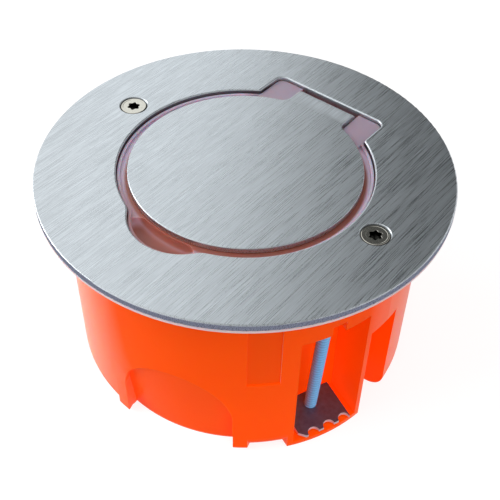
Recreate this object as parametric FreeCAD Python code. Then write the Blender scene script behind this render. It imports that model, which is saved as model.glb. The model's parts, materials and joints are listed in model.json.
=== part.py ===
import FreeCAD, Part
import math
import os

# Round flush floor socket box: a moulded back box with two climbing claws, a stainless cover plate,
# a hinged lid on a translucent frame, and a socket insert on a pressed support.
# Millimetres, +Z up, origin at the centre of the base. The lid's hinge is at +Y, its finger notch at
# -Y, and the cover screws are at +X and -X.

# Cover plate and its opening
PLATE_RADIUS = 63.0          # the main size: the seal, box, lid and insert follow it inward
PLATE_THICKNESS = 2.5
PLATE_EDGE = 0.4             # rounding of the plate's top and bottom edges
OPENING_MARGIN = 3.25        # between the round opening and the lid's edge
OPENING_EDGE = 0.5           # rounding of the opening's top edge
HINGE_NOTCH_SIDE = 0.4       # between the hinge blocks and the notch's sides
HINGE_NOTCH_REAR = 4.1       # from the hinge's axis to the notch's back edge
HINGE_NOTCH_CORNER = 2.8
HINGE_NOTCH_MOUTH = 1.0      # rounding where the notch meets the round opening
FINGER_RADIUS = 16.0
FINGER_PROUD = 5.25          # how far the finger notch reaches past the round opening
FINGER_BLEND = 6.2           # rounding where the finger notch meets the round opening

# Cover screws
SCREW_MARGIN = 7.75          # from each cover screw's axis to the opening
SCREW_SHANK = 2.0            # shank radius
SCREW_HEAD = 4.4             # head radius
SCREW_LENGTH = 22.0          # head top to tip
SINK_MARGIN = 0.25           # how far the countersink reaches past the head
SINK_SEAT = 0.03             # gap between the head's cone and the countersink
SCREW_HOLE_CLEARANCE = 0.3
LOBE_CIRCLE = 1.4            # radius of the circle through the six lobes of the drive
LOBE_RADIUS = 0.55
LOBE_DEPTH = 1.6

# Back box
BOX_HEIGHT = 67.5            # base to rim, where the cover plate lies
BOX_MARGIN = 8.5             # from the wall's outside at the rim to the cover screws' axes
BOX_DRAFT = 0.5              # degrees
BOX_WALL = 1.8
BOX_FLOOR = 1.8
BASE_ROUND = 6.5
BASE_CHAMFER = 3.2           # inside corner of the floor, behind the round
COLLAR_WIDTH = 3.5
COLLAR_THICKNESS = 0.8       # also the thickness of the seal round it
POST_RADIUS = 4.6            # posts that take the cover screws
POST_BORE_CLEARANCE = 0.05
POST_BORE_DEPTH = 20.0

# Claw recesses, and the pockets under the screw posts beside them
CLAW_ANGLE = -22.0           # degrees from +X; the second recess lies opposite
RECESS_DEPTH = 15.5          # from the box's outside to the recess's back wall
RECESS_DROP = 18.0           # from the box's rim to the recess's top
RECESS_ROOF = 5.5            # thickness of the bridge that carries the claw screw
SLOT_HALF = 2.3              # slot through the bridge's front, for snapping the screw in
SLOT_HEIGHT = 3.6
POCKET_SIDE = 5.2
POCKET_DEPTH = 13.0
POCKET_DROP = 27.5

# Arched cable entries and shallow windows in the wall
ARCH_FROM_CLAW = 51.5        # degrees between a claw and the cable entry beside it
ARCH_HALF = 18.0
ARCH_SPRING = 15.0           # height where the arch starts to curve
ARCH_STEP = 0.4              # depth of the sloping panel at the arch's crown
ARCH_LEAN = 5.5              # how far the sloping panel's foot lies inside the box's radius
ARCH_RIB = 4.2               # width of the foot beside each arch
ARCH_RIB_ROUND = 1.8         # rounding of the foot's lower edges
ARCH_RIB_END = 2.5           # rounding of the foot's outer end
WINDOW_FROM_CLAW = 23.0      # degrees
WINDOW_HALF = 4.9
WINDOW_DROP = 34.0           # from the box's rim to the window's sill
WINDOW_DEPTH = 0.5

# Claws and their screws
CLAW_HALF_WIDTH = 9.0
CLAW_SIDE_GAP = 2.5          # between the claw and the recess's sides
CLAW_BACK = 4.4              # from the screw's axis
CLAW_BACK_GAP = 0.7          # between the claw and the recess's back wall
CLAW_REACH = 9.6             # from the screw's axis to the tooth tips
CLAW_THICKNESS = 1.2
CLAW_FLOOR_GAP = 0.3
CLAW_SCALLOPS = 3
CLAW_PITCH = 5.6
CLAW_TIP = 1.7               # width of a tooth's tip
CLAW_TEETH_SHIFT = 1.2       # how far the teeth stand off the claw's middle
CLAW_CORNER = 2.0            # corner cut beside the first tooth
CLAW_FIT = 0.05
CLAW_SCREW_RADIUS = 2.0
CLAW_SCREW_TILT = 5.0        # degrees, leaning outward going up
CLAW_SCREW_TAIL = 0.6        # how far the screw stands through the claw
CLAW_HEAD_RADIUS = 3.4
CLAW_HEAD_HEIGHT = 2.2
CLAW_HEAD_SINK = 0.5         # depth of the head's seat in the bridge
CLAW_HEAD_CLEARANCE = 0.3
CROSS_WIDTH = 0.9
CROSS_LENGTH = 3.4
CROSS_DEPTH = 1.2

# Seal under the plate
SEAL_INSET = 0.15            # from the plate's edge to the seal's edge
SEAL_WIDTH = 4.15
SEAL_GAP = 0.2               # between the collar and the seal round it

# Lid and hinge
LID_THICKNESS = 1.8
LID_EDGE = 0.4
TAB_HALF = 10.6
TAB_ROOT = 3.0               # rounding where the tab leaves the lid
CURL_RADIUS = 3.0            # outside radius of the tab's curl round the pin
CURL_SLIT = 0.5
PIN_OFFSET = 4.6             # from the lid's round edge to the hinge's axis
PIN_CLEARANCE = 0.05
PIN_INSET = 0.8              # how far the pin's ends lie inside the hinge blocks
PIN_CHAMFER = 0.3

# Translucent lid frame and gasket
FRAME_FLANGE = 1.6
FRAME_RIM_CLEARANCE = 0.4
FRAME_FIT = 0.25             # between the raised frame and the plate's opening
LEDGE_WIDTH = 3.0            # from the lid's edge to the frame's aperture
APERTURE_MARGIN = 0.68       # between the frame's aperture and the insert's corners
LIP_WIDTH = 0.8
LIP_RISE = 0.8               # height of the lip above the ledge
LID_GAP = 0.7                # between the lid's edge and what stands above the ledge
TAB_GAP = 0.6                # between the tab and the hinge blocks beside it
BLOCK_WIDTH = 9.0
BLOCK_REAR = 3.4             # from the hinge's axis to the blocks' back
BLOCK_DROP = 1.4             # how far the blocks hang below the flange
CURL_ROOM = 0.6
GASKET_MARGIN = 0.6          # from the frame's aperture to the gasket's groove
GASKET_WIDTH = 2.0
GASKET_DEPTH = 0.9
GASKET_PROUD = 0.3
GASKET_FIT = 0.05
DISH_MARGIN = 4.1            # finger dish: a round groove this far outside the lid's edge
DISH_RADIUS = 3.7
DISH_RISE = 0.4              # height of the groove's centre above the ledge
DISH_WALL = 1.3
DISH_ANGLE = 12.0            # degrees each way from -Y

# Support frame
SUPPORT_THICKNESS = 1.2
SUPPORT_EDGE = 4.5           # from the insert's side to the support's turned-down edge
SUPPORT_RIM_CLEARANCE = 0.9
SUPPORT_LIP = 4.0            # height of the turned-down edges
SUPPORT_LIP_REACH = 11.5     # how far the turned-down edges reach past the insert

# Socket insert
MODULE_CLEARANCE = 0.2
MODULE_LIP = 1.0
MODULE_LIP_HEIGHT = 1.2
MODULE_CORNER = 3.5
MODULE_WALL = 1.6
WELL_MARGIN = 2.7            # from the insert's side to the plug well
WELL_DEPTH = 16.0
WELL_FLOOR = 2.2
FACE_SKIRT = 0.9             # how far the skirt goes below the well's floor
CLIP_HALF = 6.0
CLIP_PROUD = 0.8
CLIP_HEIGHT = 2.0
REAR_DEPTH = 24.0
REAR_WALL = 1.8
REAR_FLOOR = 4.0
SHELF_THICKNESS = 2.0
SHELF_DROP = 2.6             # shelf top below the rear housing's top edge
PIN_PITCH = 19.0
PIN_HOLE = 2.6
EARTH_OFFSET = 10.0
EARTH_RADIUS = 2.4
EARTH_HEIGHT = 13.5          # above the well's floor
EARTH_CLEARANCE = 0.1
SHUTTER_HALF_LENGTH = 14.5
SHUTTER_HALF_WIDTH = 3.2
SHUTTER_PLAY = 0.2
SHUTTER_RAMP = 1.2
GUIDE_GAP = 0.3
GUIDE_WIDTH = 1.4
SHUTTER_TRAVEL = 6.5
CONTACT_HALF = 3.0
CONTACT_THICKNESS = 0.8
CONTACT_WIDTH = 7.0
TERMINAL_HEAD = 2.4
TERMINAL_SHANK = 1.4
TERMINAL_SINK = 2.0
TERMINAL_HEAD_HEIGHT = 1.6
TERMINAL_SLOT = 0.7
TERMINAL_CLEARANCE = 0.15

# Radii and spans that follow, inward from the plate's edge to the socket insert
SEAL_RADIUS = PLATE_RADIUS - SEAL_INSET
COLLAR_RADIUS = SEAL_RADIUS - SEAL_WIDTH - SEAL_GAP
BOX_RADIUS = COLLAR_RADIUS - COLLAR_WIDTH
SCREW_SPREAD = BOX_RADIUS - BOX_MARGIN
OPENING_RADIUS = SCREW_SPREAD - SCREW_MARGIN
LID_RADIUS = OPENING_RADIUS - OPENING_MARGIN
FRAME_APERTURE = LID_RADIUS - LEDGE_WIDTH
MODULE = (FRAME_APERTURE - APERTURE_MARGIN) * math.sqrt(2)
WELL_RADIUS = MODULE / 2 - WELL_MARGIN
SUPPORT_HALF_DEPTH = MODULE / 2 + SUPPORT_EDGE
SUPPORT_LIP_HALF = MODULE / 2 + SUPPORT_LIP_REACH
GASKET_INNER = FRAME_APERTURE + GASKET_MARGIN
GASKET_OUTER = GASKET_INNER + GASKET_WIDTH
PIN_Y = LID_RADIUS + PIN_OFFSET
BLOCK_INNER = TAB_HALF + TAB_GAP
BLOCK_OUTER = BLOCK_INNER + BLOCK_WIDTH
BLOCK_BACK = PIN_Y + BLOCK_REAR
PIN_HALF_LENGTH = BLOCK_OUTER - PIN_INSET
HINGE_NOTCH_HALF = BLOCK_OUTER + HINGE_NOTCH_SIDE
HINGE_NOTCH_BACK = PIN_Y + HINGE_NOTCH_REAR
FINGER_CENTRE = OPENING_RADIUS + FINGER_PROUD - FINGER_RADIUS
DISH_CIRCLE = LID_RADIUS + DISH_MARGIN
SINK_RADIUS = SCREW_HEAD + SINK_MARGIN
RECESS_HALF = CLAW_HALF_WIDTH + CLAW_SIDE_GAP
RECESS_BACK = BOX_RADIUS - RECESS_DEPTH
CLAW_SCREW_FOOT = RECESS_BACK + CLAW_BACK + CLAW_BACK_GAP
POCKET_BACK = BOX_RADIUS - POCKET_DEPTH
ARCH_PANEL_BASE = BOX_RADIUS - ARCH_LEAN

# Levels that follow
RECESS_TOP = BOX_HEIGHT - RECESS_DROP
POCKET_TOP = BOX_HEIGHT - POCKET_DROP
WINDOW_SILL = BOX_HEIGHT - WINDOW_DROP
PLATE_BOTTOM = BOX_HEIGHT
PLATE_TOP = BOX_HEIGHT + PLATE_THICKNESS
FLOOR_LEVEL = BOX_HEIGHT - COLLAR_THICKNESS
LID_BOTTOM = PLATE_TOP - LID_THICKNESS
LEDGE_TOP = LID_BOTTOM - GASKET_PROUD
LIP_TOP = LEDGE_TOP + LIP_RISE
FLANGE_BOTTOM = PLATE_BOTTOM - FRAME_FLANGE
SUPPORT_BOTTOM = FLANGE_BOTTOM - SUPPORT_THICKNESS
POST_TOP = SUPPORT_BOTTOM
RIM_INNER = BOX_RADIUS - BOX_WALL
PIN_Z = PLATE_TOP - CURL_RADIUS
PIN_RADIUS = CURL_RADIUS - LID_THICKNESS - PIN_CLEARANCE
TILT = math.radians(CLAW_SCREW_TILT)
CLAW_REST = (BOX_FLOOR + CLAW_FLOOR_GAP + CLAW_REACH * math.sin(TILT)
             + CLAW_THICKNESS * math.cos(TILT))
BRIDGE_TOP = RECESS_TOP + RECESS_ROOF
HEAD_SEAT = (BRIDGE_TOP - CLAW_HEAD_SINK - CLAW_REST) / math.cos(TILT)
FACE_TOP = FLANGE_BOTTOM + MODULE_LIP_HEIGHT
WELL_BASE = FACE_TOP - WELL_DEPTH
FACE_BOTTOM = WELL_BASE - WELL_FLOOR - FACE_SKIRT
REAR_BOTTOM = FACE_BOTTOM - REAR_DEPTH
REAR_FLOOR_TOP = REAR_BOTTOM + REAR_FLOOR
SHELF_TOP = FACE_BOTTOM - SHELF_DROP
SHELF_BOTTOM = SHELF_TOP - SHELF_THICKNESS
SIDES = {"right": 0.0, "left": 180.0}


def block(x, y, z):
    """Box between the (low, high) pairs x, y and z."""
    corner = FreeCAD.Vector(x[0], y[0], z[0])
    return Part.makeBox(x[1] - x[0], y[1] - y[0], z[1] - z[0], corner)


def rod(radius, low, high, x=0.0, y=0.0):
    """Upright cylinder from low to high."""
    return Part.makeCylinder(radius, high - low, FreeCAD.Vector(x, y, low))


def ring(outer, inner, low, high):
    return rod(outer, low, high).cut(rod(inner, low, high))


def frustum(low_radius, high_radius, low, high, x=0.0, y=0.0):
    return Part.makeCone(low_radius, high_radius, high - low, FreeCAD.Vector(x, y, low))


def turned(shape, degrees):
    """Copy turned about the box's axis."""
    copy = shape.copy()
    copy.rotate(FreeCAD.Vector(0, 0, 0), FreeCAD.Vector(0, 0, 1), degrees)
    return copy


def upright_edges(shape, places):
    """The vertical edges that stand at the given (x, y) places."""
    found = []
    for edge in shape.Edges:
        ends = [vertex.Point for vertex in edge.Vertexes]
        if len(ends) != 2 or math.hypot(ends[0].x - ends[1].x, ends[0].y - ends[1].y) > 1e-6:
            continue
        if any(math.hypot(ends[0].x - x, ends[0].y - y) < 1e-4 for x, y in places):
            found.append(edge)
    return found


def level_edges(shape, level):
    """The edges that lie flat at one height."""
    return [edge for edge in shape.Edges
            if abs(edge.BoundBox.ZMin - level) < 1e-6 and abs(edge.BoundBox.ZMax - level) < 1e-6]


def square_prism(half, corner, low, high):
    """Square prism with rounded upright corners."""
    prism = block((-half, half), (-half, half), (low, high))
    places = [(x, y) for x in (-half, half) for y in (-half, half)]
    return prism.makeFillet(corner, upright_edges(prism, places))


def box_radius(z):
    """Outside radius of the drafted wall."""
    return BOX_RADIUS - (BOX_HEIGHT - z) * math.tan(math.radians(BOX_DRAFT))


def opening_prism(grow, low, high):
    """The plate's opening, grown all round: a circle with the hinge notch and the finger notch."""
    radius = OPENING_RADIUS + grow
    half = HINGE_NOTCH_HALF + grow
    back = HINGE_NOTCH_BACK + grow
    finger = FINGER_RADIUS + grow
    notch = block((-half, half), (0, back), (low, high))
    corners = upright_edges(notch, [(-half, back), (half, back)])
    notch = notch.makeFillet(HINGE_NOTCH_CORNER + grow, corners)
    prism = rod(radius, low, high).fuse([notch, rod(finger, low, high, 0, -FINGER_CENTRE)])
    prism = prism.removeSplitter()
    meet_y = -(FINGER_CENTRE ** 2 + radius ** 2 - finger ** 2) / (2 * FINGER_CENTRE)
    meet_x = math.sqrt(radius ** 2 - meet_y ** 2)
    blends = upright_edges(prism, [(-meet_x, meet_y), (meet_x, meet_y)])
    prism = prism.makeFillet(FINGER_BLEND - grow, blends)
    mouth_y = math.sqrt(radius ** 2 - half ** 2)
    mouths = upright_edges(prism, [(-half, mouth_y), (half, mouth_y)])
    return prism.makeFillet(HINGE_NOTCH_MOUTH - grow, mouths)


def lid_prism(grow, low, high):
    """The lid's outline, grown all round: a circle with the hinge tab."""
    radius = LID_RADIUS + grow
    half = TAB_HALF + grow
    tab = block((-half, half), (0, PIN_Y), (low, high))
    prism = rod(radius, low, high).fuse(tab).removeSplitter()
    root_y = math.sqrt(radius ** 2 - half ** 2)
    roots = upright_edges(prism, [(-half, root_y), (half, root_y)])
    return prism.makeFillet(TAB_ROOT - grow, roots)


def arch_prism(grow, angle):
    """Radial tunnel with a round top, for a cable entry at the given angle."""
    half = ARCH_HALF + grow
    reach = BOX_RADIUS + COLLAR_RADIUS
    legs = block((0, reach), (-half, half), (0, ARCH_SPRING))
    crown = Part.makeCylinder(half, reach, FreeCAD.Vector(0, 0, ARCH_SPRING), FreeCAD.Vector(1, 0, 0))
    crown = crown.common(block((0, reach), (-half, half), (0, BOX_HEIGHT)))
    return turned(legs.fuse(crown).removeSplitter(), angle)


def arch_relief(grow, angle):
    """What lies outside the sloping panel of one cable entry."""
    crown = ARCH_SPRING + ARCH_HALF
    low_radius = ARCH_PANEL_BASE - grow
    high_radius = box_radius(crown) - ARCH_STEP - grow
    top = crown + grow
    slope = (high_radius - low_radius) / crown
    panel = frustum(low_radius, low_radius + slope * top, 0, top)
    return arch_prism(grow, angle).cut(panel)


def claw_housing(grow, low, high, angle):
    """Block round one claw recess, grown by the wall."""
    reach = BOX_RADIUS + COLLAR_RADIUS
    half = RECESS_HALF + grow
    return turned(block((RECESS_BACK - grow, reach), (-half, half), (low, high)), angle)


def post_pocket(grow, top, side):
    """Pocket under one screw post, beside the claw housing."""
    reach = POCKET_BACK * math.tan(math.radians(-CLAW_ANGLE))
    pocket = block((POCKET_BACK - grow, BOX_RADIUS + COLLAR_RADIUS),
                   (-reach, POCKET_SIDE + grow), (0, top))
    housing = claw_housing(BOX_WALL, 0, BRIDGE_TOP, CLAW_ANGLE)
    return turned(pocket.cut(housing), side)


def drafted_body(inset, low):
    """Solid of the drafted wall, moved inward by inset and starting at low."""
    return frustum(box_radius(low) - inset, box_radius(BOX_HEIGHT) - inset, low, BOX_HEIGHT)


def make_box_feet(arches):
    """Square-edged feet: the claw housings and the ribs beside the cable entries."""
    height = 2 * BASE_ROUND
    body = drafted_body(0, 0)
    rounded = body.makeFillet(ARCH_RIB_END, level_edges(body, 0))
    stands = [body.common(claw_housing(BOX_WALL, 0, height, CLAW_ANGLE + side)) for side in SIDES.values()]
    for angle in arches:
        for low in (ARCH_HALF, -ARCH_HALF - ARCH_RIB):
            rib = block((RECESS_BACK, BOX_RADIUS), (low, low + ARCH_RIB), (0, height))
            soles = [edge for edge in level_edges(rib, 0) if edge.BoundBox.YLength < 1e-6]
            rib = turned(rib.makeFillet(ARCH_RIB_ROUND, soles), angle)
            stands.append(rounded.common(rib))
    return stands


def make_back_box():
    """Moulded shell whose wall folds inward round the claws, the post pockets and the arches."""
    sides = SIDES.values()
    arches = [CLAW_ANGLE + side - ARCH_FROM_CLAW for side in sides]

    outside = drafted_body(0, 0)
    outside = outside.makeFillet(BASE_ROUND, level_edges(outside, 0))
    outside = outside.fuse(make_box_feet(arches))
    inside = drafted_body(BOX_WALL, BOX_FLOOR)
    inside = inside.makeChamfer(BASE_CHAMFER, level_edges(inside, BOX_FLOOR))

    reliefs = []
    folds = []
    for side in sides:
        claw = CLAW_ANGLE + side
        reliefs.append(claw_housing(0, BOX_FLOOR, RECESS_TOP, claw))
        folds.append(claw_housing(BOX_WALL, 0, BRIDGE_TOP, claw))
        reliefs.append(post_pocket(0, POCKET_TOP, side))
        folds.append(post_pocket(BOX_WALL, POCKET_TOP + BOX_WALL, side))
        post = rod(POST_RADIUS, POCKET_TOP, POST_TOP, SCREW_SPREAD, 0)
        web = block((SCREW_SPREAD, BOX_RADIUS), (-POST_RADIUS, POST_RADIUS), (POCKET_TOP, POST_TOP))
        folds.append(turned(post.fuse(web), side))
        sill = block((RECESS_BACK, BOX_RADIUS + COLLAR_RADIUS), (-WINDOW_HALF, WINDOW_HALF),
                     (WINDOW_SILL, FLOOR_LEVEL))
        reliefs.append(turned(sill, claw - WINDOW_FROM_CLAW).cut(drafted_body(WINDOW_DEPTH, 0)))
    for angle in arches:
        reliefs.append(arch_relief(0, angle))
        folds.append(arch_relief(BOX_WALL, angle))

    shell = outside.cut(reliefs).cut(inside.cut(folds))
    shell = shell.fuse(ring(COLLAR_RADIUS, RIM_INNER, FLOOR_LEVEL, BOX_HEIGHT))
    cuts = []
    for side in sides:
        bore = rod(SCREW_SHANK + POST_BORE_CLEARANCE, POST_TOP - POST_BORE_DEPTH, POST_TOP, SCREW_SPREAD, 0)
        cuts.append(turned(bore, side))
        cuts.extend(claw_screw_room(CLAW_ANGLE + side))
    return shell.cut(cuts).removeSplitter()


def on_claw_screw(shape, angle):
    """Place a shape made about the claw screw's own axis, with the claw's top at zero."""
    placed = shape.copy()
    placed.rotate(FreeCAD.Vector(0, 0, 0), FreeCAD.Vector(0, 1, 0), CLAW_SCREW_TILT)
    placed.translate(FreeCAD.Vector(CLAW_SCREW_FOOT, 0, CLAW_REST))
    return turned(placed, angle)


def claw_screw_room(angle):
    """Hole, head seat and snap-in slot for a claw screw in the bridge over its recess."""
    hole = rod(CLAW_SCREW_RADIUS + CLAW_FIT, 0, HEAD_SEAT)
    hole = hole.cut(rod(CLAW_HEAD_RADIUS, 0, HEAD_SEAT - 2 * RECESS_ROOF))
    seat = rod(CLAW_HEAD_RADIUS + CLAW_HEAD_CLEARANCE, HEAD_SEAT, HEAD_SEAT + RECESS_ROOF)
    axis_radius = CLAW_SCREW_FOOT + (RECESS_TOP - CLAW_REST) * math.tan(TILT)
    slot = block((axis_radius, BOX_RADIUS), (-SLOT_HALF, SLOT_HALF), (RECESS_TOP, RECESS_TOP + SLOT_HEIGHT))
    return [on_claw_screw(hole, angle), on_claw_screw(seat, angle), turned(slot, angle)]


def make_claw(angle):
    """Flat steel claw with scalloped teeth along its outer edge."""
    plate = block((-CLAW_BACK, CLAW_REACH), (-CLAW_HALF_WIDTH, CLAW_HALF_WIDTH), (-CLAW_THICKNESS, 0))
    plate = plate.makeChamfer(CLAW_CORNER, upright_edges(plate, [(CLAW_REACH, -CLAW_HALF_WIDTH)]))
    cuts = [rod(CLAW_SCREW_RADIUS + CLAW_FIT, -CLAW_THICKNESS, 0)]
    for index in range(CLAW_SCALLOPS):
        y = (index - (CLAW_SCALLOPS - 1) / 2) * CLAW_PITCH + CLAW_TEETH_SHIFT
        cuts.append(rod((CLAW_PITCH - CLAW_TIP) / 2, -CLAW_THICKNESS, 0, CLAW_REACH, y))
    return on_claw_screw(plate.cut(cuts), angle)


def make_claw_screw(angle):
    """Long screw with a cross-recessed head on the bridge."""
    shank = rod(CLAW_SCREW_RADIUS, -CLAW_THICKNESS - CLAW_SCREW_TAIL, HEAD_SEAT)
    top = HEAD_SEAT + CLAW_HEAD_HEIGHT
    head = rod(CLAW_HEAD_RADIUS, HEAD_SEAT, top)
    head = head.makeFillet(CLAW_HEAD_HEIGHT / 2, level_edges(head, top))
    depth = (top - CROSS_DEPTH, top)
    long = (-CROSS_LENGTH / 2, CROSS_LENGTH / 2)
    narrow = (-CROSS_WIDTH / 2, CROSS_WIDTH / 2)
    cross = block(long, narrow, depth).fuse(block(narrow, long, depth))
    return on_claw_screw(shank.fuse(head).cut(cross), angle)


def make_plate_seal():
    return ring(SEAL_RADIUS, COLLAR_RADIUS + SEAL_GAP, FLOOR_LEVEL, PLATE_BOTTOM)


def make_cover_plate():
    """Round plate with rounded edges, countersinks and the lid's opening."""
    plate = rod(PLATE_RADIUS, PLATE_BOTTOM, PLATE_TOP)
    plate = plate.makeFillet(PLATE_EDGE, level_edges(plate, PLATE_TOP) + level_edges(plate, PLATE_BOTTOM))
    plate = plate.cut(opening_prism(0, PLATE_BOTTOM, PLATE_TOP))
    inner_edges = [edge for edge in level_edges(plate, PLATE_TOP)
                   if edge.BoundBox.DiagonalLength < PLATE_RADIUS * 2 - PLATE_EDGE * 4]
    plate = plate.makeFillet(OPENING_EDGE, inner_edges)
    hole_radius = SCREW_SHANK + SCREW_HOLE_CLEARANCE
    for side in (-SCREW_SPREAD, SCREW_SPREAD):
        hole = rod(hole_radius, PLATE_BOTTOM, PLATE_TOP, side, 0)
        sink_depth = SINK_RADIUS - hole_radius
        sink = frustum(hole_radius, SINK_RADIUS, PLATE_TOP - sink_depth, PLATE_TOP, side, 0)
        plate = plate.cut([hole, sink])
    return plate


def make_cover_screw(side):
    """Countersunk screw with a six-lobe drive, seated in the plate's countersink."""
    top = PLATE_TOP - (SINK_RADIUS - SCREW_HEAD) + SINK_SEAT
    cone = SCREW_HEAD - SCREW_SHANK
    head = frustum(SCREW_SHANK, SCREW_HEAD, top - cone, top, SCREW_SPREAD, 0)
    shank = rod(SCREW_SHANK, top - SCREW_LENGTH, top - cone, SCREW_SPREAD, 0)
    drive = [rod(LOBE_CIRCLE, top - LOBE_DEPTH, top, SCREW_SPREAD, 0)]
    for lobe in range(6):
        turn = math.radians(60 * lobe)
        x = SCREW_SPREAD + LOBE_CIRCLE * math.cos(turn)
        drive.append(rod(LOBE_RADIUS, top - LOBE_DEPTH, top, x, LOBE_CIRCLE * math.sin(turn)))
    return turned(shank.fuse(head).cut(drive), side)


def along_x(radius, half_length):
    """Cylinder on the hinge axis."""
    start = FreeCAD.Vector(-half_length, PIN_Y, PIN_Z)
    return Part.makeCylinder(radius, 2 * half_length, start, FreeCAD.Vector(1, 0, 0))


def make_lid():
    """Round flap whose tab is curled down round the hinge pin."""
    sheet = lid_prism(0, LID_BOTTOM, PLATE_TOP)
    sheet = sheet.fuse(along_x(CURL_RADIUS, TAB_HALF)).cut(along_x(PIN_RADIUS + PIN_CLEARANCE, TAB_HALF))
    slit = block((-TAB_HALF, TAB_HALF), (PIN_Y - CURL_RADIUS, PIN_Y),
                 (LID_BOTTOM - CURL_SLIT, LID_BOTTOM))
    lid = sheet.cut(slit).removeSplitter()
    rim = [edge for edge in level_edges(lid, PLATE_TOP)
           if edge.BoundBox.YMin < -LID_RADIUS / 2]
    return lid.makeFillet(LID_EDGE, rim)


def make_hinge_pin():
    pin = along_x(PIN_RADIUS, PIN_HALF_LENGTH)
    return pin.makeChamfer(PIN_CHAMFER, [edge for edge in pin.Edges if edge.BoundBox.XLength < 1e-6])


def dish_groove(radius):
    """Round-ended groove along the lid's edge, centred on -Y."""
    level = LEDGE_TOP + DISH_RISE
    section = Part.makeCircle(radius, FreeCAD.Vector(DISH_CIRCLE, 0, level), FreeCAD.Vector(0, 1, 0))
    disc = Part.Face(Part.Wire(section))
    arc = disc.revolve(FreeCAD.Vector(0, 0, 0), FreeCAD.Vector(0, 0, 1), 2 * DISH_ANGLE)
    groove = turned(arc, -90 - DISH_ANGLE)
    ends = []
    for turn in (-90 - DISH_ANGLE, -90 + DISH_ANGLE):
        x = DISH_CIRCLE * math.cos(math.radians(turn))
        y = DISH_CIRCLE * math.sin(math.radians(turn))
        ends.append(Part.makeSphere(radius, FreeCAD.Vector(x, y, level)))
    return groove.fuse(ends)


def make_lid_frame():
    """Translucent frame: flange under the plate, ledge, lip, hinge blocks and finger dish."""
    frame = rod(RIM_INNER - FRAME_RIM_CLEARANCE, FLANGE_BOTTOM, PLATE_BOTTOM)
    bowl = dish_groove(DISH_RADIUS + DISH_WALL)
    below = block((-BOX_RADIUS, BOX_RADIUS), (-BOX_RADIUS, 0), (0, FLANGE_BOTTOM))
    ledge = opening_prism(-FRAME_FIT, PLATE_BOTTOM, LEDGE_TOP)
    lip = opening_prism(-FRAME_FIT, LEDGE_TOP, LIP_TOP)
    lip = lip.cut(opening_prism(-FRAME_FIT - LIP_WIDTH, LEDGE_TOP, LIP_TOP))
    room = opening_prism(-FRAME_FIT, FLANGE_BOTTOM - BLOCK_DROP, LIP_TOP)
    blocks = []
    for low, high in ((-BLOCK_OUTER, -BLOCK_INNER), (BLOCK_INNER, BLOCK_OUTER)):
        square = block((low, high), (0, BLOCK_BACK), (FLANGE_BOTTOM - BLOCK_DROP, LIP_TOP))
        blocks.append(square.common(room))
    stand = lid_prism(LID_GAP, LEDGE_TOP, LIP_TOP)
    core = rod(GASKET_OUTER + LID_GAP, FLANGE_BOTTOM - BLOCK_DROP, FLANGE_BOTTOM)
    blocks = [piece.cut([stand, core]) for piece in blocks]
    frame = frame.fuse([bowl.common(below), ledge, lip] + blocks)

    through = (FLANGE_BOTTOM - BLOCK_DROP, PLATE_TOP)
    curl = (PIN_Y - CURL_RADIUS - CURL_ROOM, HINGE_NOTCH_BACK)
    dish = dish_groove(DISH_RADIUS).common(opening_prism(-FRAME_FIT - LIP_WIDTH, 0, PLATE_TOP))
    cuts = [rod(FRAME_APERTURE, through[0], through[1]),
            ring(GASKET_OUTER, GASKET_INNER, LEDGE_TOP - GASKET_DEPTH, LEDGE_TOP),
            block((-BLOCK_INNER, BLOCK_INNER), curl, through),
            along_x(PIN_RADIUS + PIN_CLEARANCE, BLOCK_OUTER), dish]
    for side in (-SCREW_SPREAD, SCREW_SPREAD):
        cuts.append(rod(SCREW_SHANK + SCREW_HOLE_CLEARANCE, FLANGE_BOTTOM, PLATE_BOTTOM, side, 0))
    return frame.cut(cuts).removeSplitter()


def make_lid_gasket():
    low = LEDGE_TOP - GASKET_DEPTH
    return ring(GASKET_OUTER - GASKET_FIT, GASKET_INNER + GASKET_FIT, low, LID_BOTTOM)


def make_support_frame():
    """Pressed frame across the box, held by the cover screws, with turned-down edges."""
    level = (SUPPORT_BOTTOM, FLANGE_BOTTOM)
    deep = (-SUPPORT_HALF_DEPTH, SUPPORT_HALF_DEPTH)
    sheet = rod(RIM_INNER - SUPPORT_RIM_CLEARANCE, level[0], level[1])
    sheet = sheet.common(block((-BOX_RADIUS, BOX_RADIUS), deep, level))
    for low in (-SUPPORT_HALF_DEPTH, SUPPORT_HALF_DEPTH - SUPPORT_THICKNESS):
        edge = block((-SUPPORT_LIP_HALF, SUPPORT_LIP_HALF), (low, low + SUPPORT_THICKNESS),
                     (SUPPORT_BOTTOM - SUPPORT_LIP, FLANGE_BOTTOM))
        sheet = sheet.fuse(edge)
    half = MODULE / 2 + MODULE_CLEARANCE
    cuts = [block((-half, half), (-half, half), level)]
    for side in (-SCREW_SPREAD, SCREW_SPREAD):
        cuts.append(rod(SCREW_SHANK + SCREW_HOLE_CLEARANCE, level[0], level[1], side, 0))
    return sheet.cut(cuts).removeSplitter()


def pin_places():
    return [(-PIN_PITCH / 2, 0.0), (PIN_PITCH / 2, 0.0)]


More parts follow.
